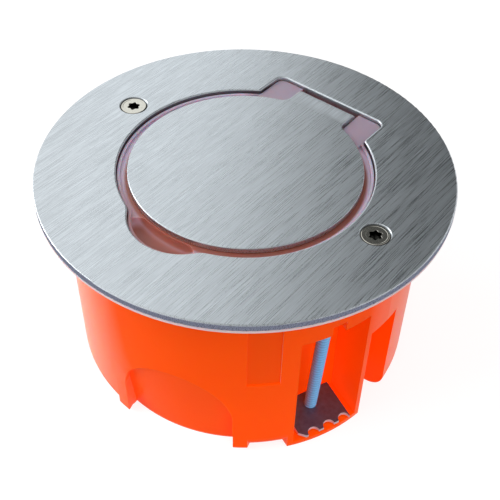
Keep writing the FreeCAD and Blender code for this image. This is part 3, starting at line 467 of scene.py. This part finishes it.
def punched_spring_steel(tint, edge):
    """Dark hardened sheet whose punched edges are bright: an edge is a face that looks sideways."""
    scale_size = 1.5 * MM
    material, tree, shader = start_material("Punched spring steel")
    coordinates = add(tree, "ShaderNodeTexCoord")
    facing = add(tree, "ShaderNodeSeparateXYZ", {"Vector": coordinates["Normal"]})["Z"]
    level = add(tree, "ShaderNodeMath", {0: facing}, operation="ABSOLUTE")["Value"]
    is_sheet = add(tree, "ShaderNodeMapRange", {"Value": level, "From Min": 0.55,
                                                "From Max": 0.75})["Result"]
    scale = add(tree, "ShaderNodeTexNoise", {"Vector": coordinates["Object"], "Scale": 1 / scale_size,
                                             "Detail": 4.0})["Fac"]
    dark = add(tree, "ShaderNodeMix", {FACTOR: scale, COLOUR_A: shade(tint, 0.6),
                                       COLOUR_B: shade(tint, 1.3)}, data_type="RGBA")[MIXED_COLOUR]
    tone = add(tree, "ShaderNodeMix", {FACTOR: is_sheet, COLOUR_A: shade(edge), COLOUR_B: dark},
               data_type="RGBA")[MIXED_COLOUR]
    gloss = add(tree, "ShaderNodeMapRange", {"Value": scale, "To Min": 0.35, "To Max": 0.6})["Result"]
    bare = add(tree, "ShaderNodeMapRange", {"Value": is_sheet, "To Min": 0.15, "To Max": 0.7})["Result"]
    tree.links.new(bare, shader["Metallic"])
    tree.links.new(tone, shader["Base Color"])
    tree.links.new(gloss, shader["Roughness"])
    return material


def moulded_plastic(name, tint, roughness):
    """Plain moulded plastic: even colour, with the faint texture of the mould."""
    skin_size, skin_depth, edge_radius = 0.8 * MM, 0.04 * MM, 0.3 * MM
    material, tree, shader = start_material(name, IOR=1.5)
    place = add(tree, "ShaderNodeTexCoord")["Object"]
    skin = add(tree, "ShaderNodeTexNoise", {"Vector": place, "Scale": 1 / skin_size, "Detail": 3.0})["Fac"]
    tone = add(tree, "ShaderNodeMix", {FACTOR: skin, COLOUR_A: shade(tint, 0.95),
                                       COLOUR_B: shade(tint, 1.03)}, data_type="RGBA")[MIXED_COLOUR]
    gloss = add(tree, "ShaderNodeMapRange", {"Value": skin, "To Min": roughness * 0.85,
                                             "To Max": roughness * 1.15})["Result"]
    soft_edge = add(tree, "ShaderNodeBevel", {"Radius": edge_radius}, samples=6)["Normal"]
    relief = add(tree, "ShaderNodeBump", {"Height": skin, "Strength": 0.08, "Distance": skin_depth,
                                          "Normal": soft_edge})["Normal"]
    tree.links.new(tone, shader["Base Color"])
    tree.links.new(gloss, shader["Roughness"])
    tree.links.new(relief, shader["Normal"])
    return material


def dress(material, *names):
    """Give CAD nodes a material."""
    for name in names:
        NODES[name].data.materials.clear()
        NODES[name].data.materials.append(material)


# Shapes of the screws


def tube(rows, columns):
    """Closed bmesh tube about Z; both ends are capped.

    Each row is a height, and a function that gives the radius at a fraction of a turn.
    """
    shape = bmesh.new()
    grid = []
    for height, radius_at in rows:
        loop = []
        for column in range(columns):
            turn = column / columns
            angle = 2 * math.pi * turn
            radius = radius_at(turn)
            loop.append(shape.verts.new((radius * math.cos(angle), radius * math.sin(angle), height)))
        grid.append(loop)
    for low, high in zip(grid, grid[1:]):
        for column in range(columns):
            after = (column + 1) % columns
            shape.faces.new((low[column], low[after], high[after], high[column]))
    shape.faces.new(list(reversed(grid[0])))
    shape.faces.new(grid[-1])
    bmesh.ops.recalc_face_normals(shape, faces=shape.faces)
    return shape


def round_row(height, radius):
    return height, lambda turn: radius


def thread_rows(low, high, pitch, core, crest):
    """Rows of a right-handed rolled thread from low to high, running out at both ends."""
    rows_per_pitch = 10
    steps = max(2, round((high - low) / pitch * rows_per_pitch))
    rows = []
    for step in range(steps + 1):
        height = low + (high - low) * step / steps
        run_out = min(1.0, (height - low) / pitch, (high - height) / pitch)

        def radius_at(turn, height=height, run_out=run_out):
            wave = 0.5 - 0.5 * math.cos(2 * math.pi * (height / pitch - turn))
            return core + (crest - core) * run_out * wave ** 0.8
        rows.append((height, radius_at))
    return rows


def cross_radius(turn, half_length, half_width):
    """Outline of a cross recess."""
    x = abs(math.cos(2 * math.pi * turn)) + 1e-6
    y = abs(math.sin(2 * math.pi * turn)) + 1e-6
    return max(min(half_length / x, half_width / y), min(half_length / y, half_width / x))


def lobe_radius(turn, middle, swing):
    """Outline of a six-lobe recess."""
    return middle + swing * math.cos(12 * math.pi * turn)


def cover_screw_rows(top, head):
    """Rows of a countersunk screw: tip, thread, cone, chamfered head with a ring, six-lobe drive."""
    crest = sizes().cover_crest
    drive = sizes().cover_drive
    tip_radius, tip_length, neck = 1.0 * MM, 0.8 * MM, 0.5 * MM
    lobe_middle, lobe_swing = 1.72 * MM, 0.24 * MM
    cone_depth, cone_radius = 0.35 * MM, 0.5 * MM
    seat = top - (head - crest)
    rows = [round_row(0.0, tip_radius)]
    rows += thread_rows(tip_length, seat - 2 * neck, sizes().cover_pitch,
                        crest - sizes().cover_thread, crest)
    rows += [round_row(seat - neck, crest), round_row(seat, crest)]
    for below, radius in ((0.45 * MM, head - 0.45 * MM), (0.4 * MM, head - 0.04 * MM), (0.3 * MM, head),
                          (0.22 * MM, head - 0.08 * MM), (0.0, head - 0.52 * MM), (0.0, head * 0.8),
                          (0.04 * MM, head * 0.77), (0.04 * MM, head * 0.62), (0.02 * MM, head * 0.58),
                          (0.02 * MM, head * 0.54)):
        rows.append(round_row(top - below, radius))
    for below, share in ((0.06 * MM, 1.06), (0.16 * MM, 1.0), (drive, 0.97)):
        rows.append((top - below,
                     lambda turn, share=share: share * lobe_radius(turn, lobe_middle, lobe_swing)))
    rows.append(round_row(top - drive - cone_depth, cone_radius))
    return rows


def claw_screw_rows():
    """Rows of a long claw screw: thread, plain neck, rounded head, cross recess; its joint is at 0."""
    crest = sizes().claw_crest
    head = sizes().claw_head
    seat = sizes().claw_seat
    thread_end, neck_start, neck_radius = 3.0 * MM, 2.8 * MM, 1.75 * MM
    head_height = 2.2 * MM
    recess_depth, recess_half_width = 1.2 * MM, 0.45 * MM
    top = seat + head_height
    rows = thread_rows(-sizes().claw_tip, seat - thread_end, sizes().claw_pitch,
                       crest - sizes().claw_thread, crest)
    rows += [round_row(seat - neck_start, neck_radius - 0.03 * MM), round_row(seat, neck_radius)]
    for above, radius in ((0.0, head - 0.1 * MM), (0.1 * MM, head), (1.1 * MM, head),
                          (1.6 * MM, head - 0.2 * MM), (2.0 * MM, head - 0.6 * MM),
                          (head_height, head - 1.1 * MM)):
        rows.append(round_row(seat + above, radius))
    for height, half in ((top, 1.7 * MM), (top - recess_depth, 1.3 * MM)):
        rows.append((height, lambda turn, half=half: cross_radius(turn, half, recess_half_width)))
    return rows


def make_piece(name, shape, place, material, body, slot, *nodes, sharp):
    """Turn a bmesh into a piece that rides on a body and stands for CAD nodes.

    Edges that bend more than sharp, in degrees, stay crisp.
    """
    mesh = bpy.data.meshes.new(name)
    shape.transform(place)
    shape.to_mesh(mesh)
    shape.free()
    mesh.materials.append(material)
    mesh.shade_smooth()
    mesh.set_sharp_from_angle(angle=math.radians(sharp))
    piece = bpy.data.objects.new(name, mesh)
    bpy.context.scene.collection.objects.link(piece)
    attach(piece, body)
    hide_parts(*nodes)
    return piece


# Operators of the pieces


class FLOORBOX_OT_steel_cover(bpy.types.Operator):
    """Brush the cover plate and the lid, and turn the hinge pin"""
    bl_idname = "floor_box.steel_cover"
    bl_label = "Steel Cover"

    def execute(self, context):
        steel = colours().steel
        screws = ["cover_screw_" + side for side in SIDES]
        dress(paint_cut_shade(brushed_stainless(steel), steel, screws), "cover_plate")
        dress(tear_grain(brushed_stainless(steel), start=0.9, full=0.93), "lid")
        dress(fine_metal("Turned pin steel", colours().zinc, roughness=0.3), "hinge_pin")
        return {"FINISHED"}


class FLOORBOX_OT_cover_screws(bpy.types.Operator):
    """Turn the countersunk cover screws, with a ringed head, a six-lobe drive and a rolled thread"""
    bl_idname = "floor_box.cover_screws"
    bl_label = "Cover Screws"

    def execute(self, context):
        steel = turned_stainless(colours().screw_steel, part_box("cover_screw_right")[1][2])
        for side in SIDES:
            low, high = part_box("cover_screw_" + side)
            rows = cover_screw_rows(top=high[2] - low[2], head=(high[0] - low[0]) / 2)
            tip = Matrix.Translation(((low[0] + high[0]) / 2, (low[1] + high[1]) / 2, low[2]))
            make_piece("cover_screw_turned_" + side, tube(rows, columns=96), tip, steel, "root",
                       "screw_steel", "cover_screw_" + side, sharp=9)
        return {"FINISHED"}


class FLOORBOX_OT_back_box(bpy.types.Operator):
    """Mould the back box"""
    bl_idname = "floor_box.back_box"
    bl_label = "Back Box"

    def execute(self, context):
        dress(moulded_polypropylene(colours().orange, colours().glow, colours().sheen), "back_box")
        return {"FINISHED"}


class FLOORBOX_OT_lid_frame(bpy.types.Operator):
    """Mould the translucent lid frame and the seals"""
    bl_idname = "floor_box.lid_frame"
    bl_label = "Lid Frame and Seals"

    def execute(self, context):
        dress(moulded_polycarbonate(colours().lilac, colours().dish), "lid_frame")
        dress(moulded_silicone(colours().seal), "plate_seal", "lid_gasket")
        return {"FINISHED"}


class FLOORBOX_OT_claws(bpy.types.Operator):
    """Punch the claws"""
    bl_idname = "floor_box.claws"
    bl_label = "Claws"

    def execute(self, context):
        dress(punched_spring_steel(colours().spring_steel, colours().cut_steel), "claw_right", "claw_left")
        return {"FINISHED"}


class FLOORBOX_OT_claw_screws(bpy.types.Operator):
    """Roll the long claw screws, with a rounded head and a cross recess"""
    bl_idname = "floor_box.claw_screws"
    bl_label = "Claw Screws"

    def execute(self, context):
        zinc = rolled_zinc(colours().blue_zinc)
        for side in SIDES:
            joint = JOINTS["claw_screw_" + side + "_turn"]
            upward = -Vector(joint["axis"])
            turn = upward.to_track_quat("Z", "Y").to_matrix().to_4x4()
            place = Matrix.Translation(Vector(joint["pos_m"])) @ turn
            make_piece("claw_screw_rolled_" + side, tube(claw_screw_rows(), columns=48), place, zinc,
                       "claw_screw_" + side, "blue_zinc", "claw_screw_" + side, sharp=40)
        return {"FINISHED"}


class FLOORBOX_OT_socket(bpy.types.Operator):
    """Dress the socket insert and its support"""
    bl_idname = "floor_box.socket"
    bl_label = "Socket Insert"

    def execute(self, context):
        dress(fine_metal("Zinc plated sheet", colours().zinc, roughness=0.4), "support_frame")
        dress(moulded_plastic("Moulded urea", colours().urea, roughness=0.25), "socket_face")
        dress(moulded_plastic("Moulded nylon", colours().nylon, roughness=0.5), "socket_rear",
              "socket_shutter")
        dress(fine_metal("Nickel plated brass", colours().nickel, roughness=0.2), "earth_pin")
        dress(fine_metal("Stamped brass", colours().brass, roughness=0.35), "live_contact",
              "neutral_contact", "terminal_screws")
        return {"FINISHED"}


# Studio, with the camera solved from the photograph

EYE = Vector((134.02, -168.53, 248.76)) * MM
TARGET = Vector((23.62, -27.23, 70.0)) * MM
ROLL = math.radians(1.36)
LENS = 66.96
SENSOR = 36.0
AWAY = Vector((TARGET.x - EYE.x, TARGET.y - EYE.y, 0.0)).normalized()


def aim(thing, eye, target, roll=0.0):
    """Place a thing at eye, with its -Z towards target."""
    turn = (target - eye).to_track_quat("-Z", "Y").to_matrix().to_4x4()
    thing.matrix_world = Matrix.Translation(eye) @ turn @ Matrix.Rotation(roll, 4, "Z")


def add_to_scene(name, data):
    thing = bpy.data.objects.new(name, data)
    bpy.context.scene.collection.objects.link(thing)
    return thing


def flat_sheet(name, half_width, half_height, material):
    """Flat studio sheet, facing up."""
    shape = bmesh.new()
    bmesh.ops.create_grid(shape, x_segments=1, y_segments=1, size=1.0)
    shape.transform(Matrix.Diagonal((half_width, half_height, 1.0, 1.0)))
    mesh = bpy.data.meshes.new(name)
    shape.to_mesh(mesh)
    shape.free()
    mesh.materials.append(material)
    sheet = add_to_scene(name, mesh)
    return sheet


def bare_material(name):
    """Material with an empty node tree, for a sheet that only glows."""
    material = bpy.data.materials.new(name)
    material.use_nodes = True
    material.node_tree.nodes.clear()
    return material, material.node_tree


def only_in_reflections(thing):
    """Keep a studio sheet out of all but mirrored rays."""
    thing.visible_camera = False
    thing.visible_diffuse = False
    thing.visible_shadow = False
    thing.visible_transmission = False


def set_floor():
    """Pale floor that the camera sees as white, with a soft shadow."""
    half = 3.0
    material, tree, shader = start_material("Studio floor", Roughness=0.9, Specular_IOR_Level=0.0,
                                            Base_Color=shade(colours().floor), Emission_Color=(1, 1, 1, 1))
    path = add(tree, "ShaderNodeLightPath")
    seen = add(tree, "ShaderNodeMath", {0: path["Is Camera Ray"], 1: path["Is Glossy Ray"]},
               operation="MAXIMUM")["Value"]
    lift = add(tree, "ShaderNodeMapRange", {"Value": seen, "To Max": 0.82})["Result"]
    tree.links.new(lift, shader["Emission Strength"])
    flat_sheet("Floor", half, half, material)


def set_card():
    """Graduated card behind the box, from white to dark: the brushed steel mirrors it."""
    distance, half_width, half_height = 0.6, 0.3, 0.4
    turn, rise = math.radians(12), math.radians(42)
    material, tree = bare_material("Graduated card")
    place = add(tree, "ShaderNodeTexCoord")["Generated"]
    across = add(tree, "ShaderNodeSeparateXYZ", {"Vector": place})["X"]
    level = add(tree, "ShaderNodeMapRange", {"Value": across, "From Min": 0.63, "From Max": 0.585,
                                             "To Min": 1.1, "To Max": 0.09},
                interpolation_type="SMOOTHSTEP")["Result"]
    glow = add(tree, "ShaderNodeEmission", {"Color": (0.97, 0.99, 1.0, 1.0), "Strength": level})["Emission"]
    add(tree, "ShaderNodeOutputMaterial", {"Surface": glow})
    card = flat_sheet("Card", half_width, half_height, material)
    right = Vector((AWAY.y, -AWAY.x, 0.0))
    sideways = math.cos(turn) * AWAY + math.sin(turn) * right
    toward = math.cos(rise) * sideways + Vector((0, 0, math.sin(rise)))
    middle = Vector((0, 0, CAD_BOX[1][2]))
    aim(card, middle + distance * toward, middle)
    only_in_reflections(card)


def set_flag():
    """Grey flag on the floor in front: the plate's upright edge mirrors it."""
    distance, half_width, half_height, lift = 0.21, 0.45, 0.29, 1 * MM
    material, tree = bare_material("Grey flag")
    glow = add(tree, "ShaderNodeEmission", {"Color": shade(colours().flag), "Strength": 1.0})["Emission"]
    add(tree, "ShaderNodeOutputMaterial", {"Surface": glow})
    flag = flat_sheet("Flag", half_width, half_height, material)
    turn = (-AWAY).to_track_quat("Y", "Z").to_matrix().to_4x4()
    flag.matrix_world = Matrix.Translation(Vector((0, 0, lift)) - distance * AWAY) @ turn
    only_in_reflections(flag)


def set_world():
    """White surround for the camera, and soft light for surfaces.

    Mirrored rays see it dim in front and on the right.
    """
    world = bpy.data.worlds.new("Studio")
    bpy.context.scene.world = world
    world.use_nodes = True
    tree = world.node_tree
    back = tree.nodes["Background"].inputs
    back["Color"].default_value = (1, 1, 1, 1)
    path = add(tree, "ShaderNodeLightPath")
    bright_side = Vector((-AWAY.y, AWAY.x, 0.0)) + 0.5 * AWAY
    way = add(tree, "ShaderNodeTexCoord")["Generated"]
    side = add(tree, "ShaderNodeVectorMath", {0: way, 1: bright_side}, operation="DOT_PRODUCT")["Value"]
    above = add(tree, "ShaderNodeMapRange", {"Value": side, "From Min": -0.5, "From Max": 0.4,
                                             "To Min": 0.38, "To Max": 1.0},
                interpolation_type="SMOOTHSTEP")["Result"]
    rise = add(tree, "ShaderNodeSeparateXYZ", {"Vector": way})["Z"]
    horizon = add(tree, "ShaderNodeMapRange", {"Value": rise, "From Min": 0.15, "From Max": 0.5,
                                               "To Min": 1.0, "To Max": 0.0},
                  interpolation_type="SMOOTHSTEP")["Result"]
    mirrored = add(tree, "ShaderNodeMath", {0: above, 1: horizon}, operation="MAXIMUM")["Value"]
    seen = add(tree, "ShaderNodeMath", {0: path["Is Camera Ray"], 1: path["Is Transmission Ray"]},
               operation="MAXIMUM")["Value"]
    plain = add(tree, "ShaderNodeMapRange", {"Value": seen, "To Min": 0.5, "To Max": 1.0})["Result"]
    strength = add(tree, "ShaderNodeMix", {FACTOR: path["Is Glossy Ray"], VALUE_A: plain,
                                           VALUE_B: mirrored})[MIXED_VALUE]
    tree.links.new(strength, back["Strength"])


def set_lamps():
    """A large soft key from the front left, a low light from the left and a fill from the right."""
    aim_point = Vector((0, 0, 40 * MM))
    lamps = (("Key", (-0.55, -0.75, 0.9), 0.7, 8.0),
             ("Side", (-0.8, -0.35, 0.22), 0.6, 5.0),
             ("Fill", (0.9, -0.2, 0.5), 0.8, 4.0))
    for name, place, size, power in lamps:
        data = bpy.data.lights.new(name, "AREA")
        data.size = size
        data.energy = power
        lamp = add_to_scene(name, data)
        lamp.visible_glossy = name == "Side"
        aim(lamp, Vector(place), aim_point)


def set_camera():
    """The photograph's camera."""
    data = bpy.data.cameras.new("Camera")
    data.lens = LENS
    data.sensor_width = SENSOR
    data.clip_start = 10 * MM
    camera = add_to_scene("Camera", data)
    aim(camera, EYE, TARGET, ROLL)
    bpy.context.scene.camera = camera


class FLOORBOX_OT_stage(bpy.types.Operator):
    """Set the floor, the light and the camera"""
    bl_idname = "floor_box.stage"
    bl_label = "Studio"

    def execute(self, context):
        set_floor()
        set_card()
        set_flag()
        set_world()
        set_lamps()
        set_camera()
        context.scene.view_settings.view_transform = "Standard"
        return {"FINISHED"}


class FLOORBOX_PT_panel(bpy.types.Panel):
    """Lists the pieces in the 3D view's sidebar"""
    bl_label = "Floor Box"
    bl_idname = "FLOORBOX_PT_panel"
    bl_space_type = "VIEW_3D"
    bl_region_type = "UI"
    bl_category = "Floor Box"

    def draw(self, context):
        for operator in OPERATORS:
            self.layout.operator(operator.bl_idname)


OPERATORS = (FLOORBOX_OT_steel_cover, FLOORBOX_OT_cover_screws, FLOORBOX_OT_back_box, FLOORBOX_OT_lid_frame,
             FLOORBOX_OT_claws, FLOORBOX_OT_claw_screws, FLOORBOX_OT_socket, FLOORBOX_OT_stage)
CLASSES = (FloorBoxColours, FloorBoxSizes, *OPERATORS, FLOORBOX_PT_panel)


def register():
    for cls in CLASSES:
        bpy.utils.register_class(cls)
    bpy.types.Scene.floor_box_colours = bpy.props.PointerProperty(type=FloorBoxColours)
    bpy.types.Scene.floor_box_sizes = bpy.props.PointerProperty(type=FloorBoxSizes)


def unregister():
    del bpy.types.Scene.floor_box_sizes
    del bpy.types.Scene.floor_box_colours
    for cls in reversed(CLASSES):
        bpy.utils.unregister_class(cls)


def main():
    register()
    bpy.ops.floor_box.steel_cover()
    bpy.ops.floor_box.cover_screws()
    bpy.ops.floor_box.back_box()
    bpy.ops.floor_box.lid_frame()
    bpy.ops.floor_box.claws()
    bpy.ops.floor_box.claw_screws()
    bpy.ops.floor_box.socket()
    bpy.ops.floor_box.stage()


if __name__ == "__main__":
    main()
